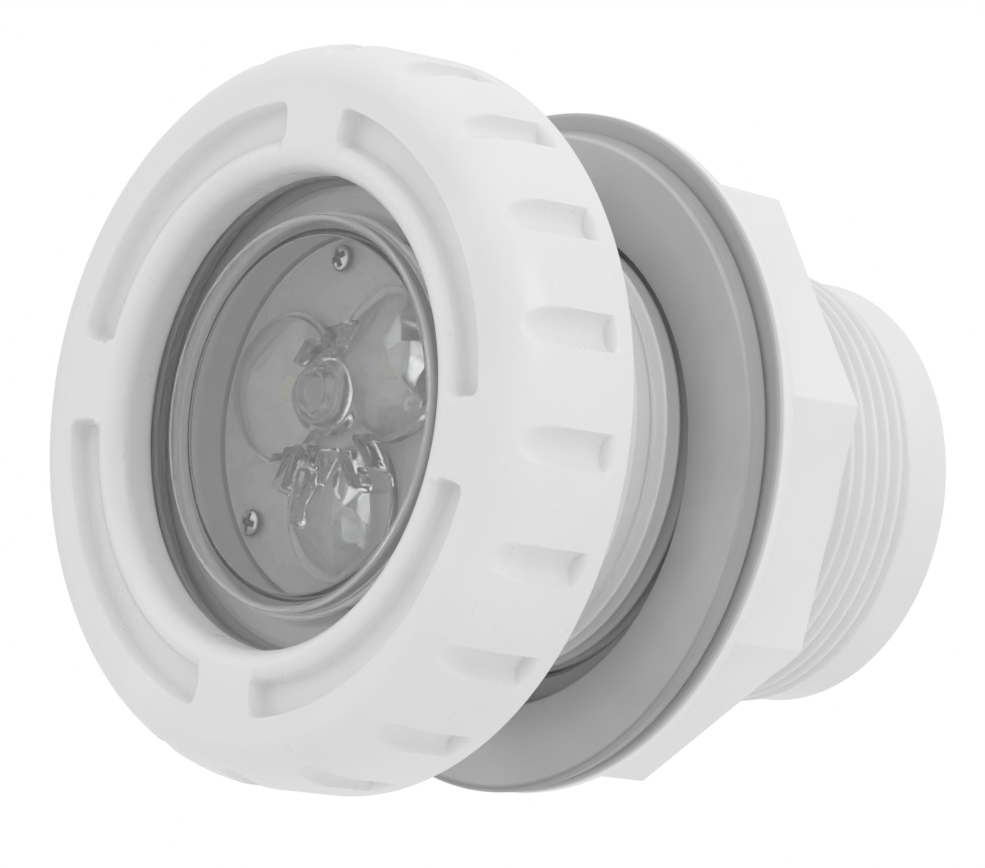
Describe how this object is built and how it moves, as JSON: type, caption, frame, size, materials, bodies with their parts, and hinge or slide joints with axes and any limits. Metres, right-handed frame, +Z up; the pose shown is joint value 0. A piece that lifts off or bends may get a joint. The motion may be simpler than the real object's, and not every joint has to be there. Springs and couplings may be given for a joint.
{
  "type": "underwater pool light",
  "caption": "Round through-wall pool light: screw-on face ring, clear lens over a three-lobe LED optic, threaded barrel with gaskets and a flanged octagonal lock nut.",
  "frame": {"origin": "on the light's axis, in the plane where the front gasket meets the pool wall's wet face", "axes": "+Y along the axis from the lens to the pipe end, +Z up, +X to the right seen from the pool"},
  "size_m": [0.097, 0.0966, 0.097],
  "materials": {
    "ring_white": "satin white ABS, softly glossy",
    "fitting_white": "satin white ABS",
    "nut_white": "satin white ABS",
    "washer_white": "smooth white slip washer",
    "lens_clear": "clear polished polycarbonate",
    "optic_clear": "clear faceted acrylic",
    "seal_black": "smooth black rubber",
    "gasket_grey": "smooth grey silicone rubber",
    "housing_grey": "satin grey plastic",
    "gland_grey": "satin grey nylon",
    "plate_satin": "satin silver-grey reflector plate",
    "screw_steel": "bright stainless steel",
    "led_amber": "phosphor dome",
    "board_white": "white solder mask",
    "sink_aluminium": "machined",
    "board_green": "green circuit board",
    "chip_black": "moulded epoxy",
    "coil_copper": "enamelled copper winding",
    "can_blue": "sleeved can"
  },
  "bodies": {
    "light_body": {"lens": "lens_clear", "lens_seal": "seal_black", "lamp_housing": "housing_grey", "housing_tail": "housing_grey", "housing_seal": "seal_black", "cover_plate": "plate_satin", "plate_screw_1": "screw_steel", "plate_screw_2": "screw_steel", "plate_screw_3": "screw_steel", "triple_optic": "optic_clear", "led_1": "led_amber", "led_2": "led_amber", "led_3": "led_amber", "led_board": "board_white", "heat_sink": "sink_aluminium", "driver_board": "board_green", "driver_chip": "chip_black", "driver_inductor": "coil_copper", "driver_capacitor": "can_blue", "rear_cap": "housing_grey", "rear_cap_seal": "seal_black", "gland_body": "gland_grey", "wall_fitting": "fitting_white", "fitting_barrel": "fitting_white", "barrel_thread": "fitting_white", "front_gasket": "gasket_grey"},
    "ring_clamp": {"slip_washer": "washer_white"},
    "face_ring": {"trim_ring": "ring_white"},
    "gasket_slider": {"rear_gasket": "gasket_grey"},
    "clamp_nut": {"lock_nut": "nut_white"},
    "gland_plug": {"gland_bush": "seal_black"},
    "gland_cap": {"gland_nut": "gland_grey"}
  },
  "joints": [
    {"name": "ring_clamp_slide", "type": "slide", "parent": "light_body", "child": "ring_clamp", "axis": [0, 1, 0], "range_m": [-0.0101, 0]},
    {"name": "face_ring_spin", "type": "hinge", "parent": "ring_clamp", "child": "face_ring", "pos_m": [0, -0.014, 0], "axis": [0, 1, 0], "range_deg": [-1200, 0]},
    {"name": "gasket_slide", "type": "slide", "parent": "light_body", "child": "gasket_slider", "axis": [0, 1, 0], "range_m": [-0.0081, 0.0301]},
    {"name": "lock_nut_spin", "type": "hinge", "parent": "gasket_slider", "child": "clamp_nut", "pos_m": [0, 0.0317, 0], "axis": [0, 1, 0], "range_deg": [-1245, 4680]},
    {"name": "gland_bush_slide", "type": "slide", "parent": "light_body", "child": "gland_plug", "axis": [0, 1, 0], "range_m": [0, 0.0041]},
    {"name": "gland_nut_spin", "type": "hinge", "parent": "gland_plug", "child": "gland_cap", "pos_m": [0, 0.0525, 0], "axis": [0, 1, 0], "range_deg": [0, 960]}
  ],
  "couplings": [
    {"joint": "ring_clamp_slide", "follows": "face_ring_spin", "m_per_rad": 0.00047746},
    {"joint": "gasket_slide", "follows": "lock_nut_spin", "m_per_rad": 0.00036749},
    {"joint": "gland_bush_slide", "follows": "gland_nut_spin", "m_per_rad": 0.00023873}
  ]
}
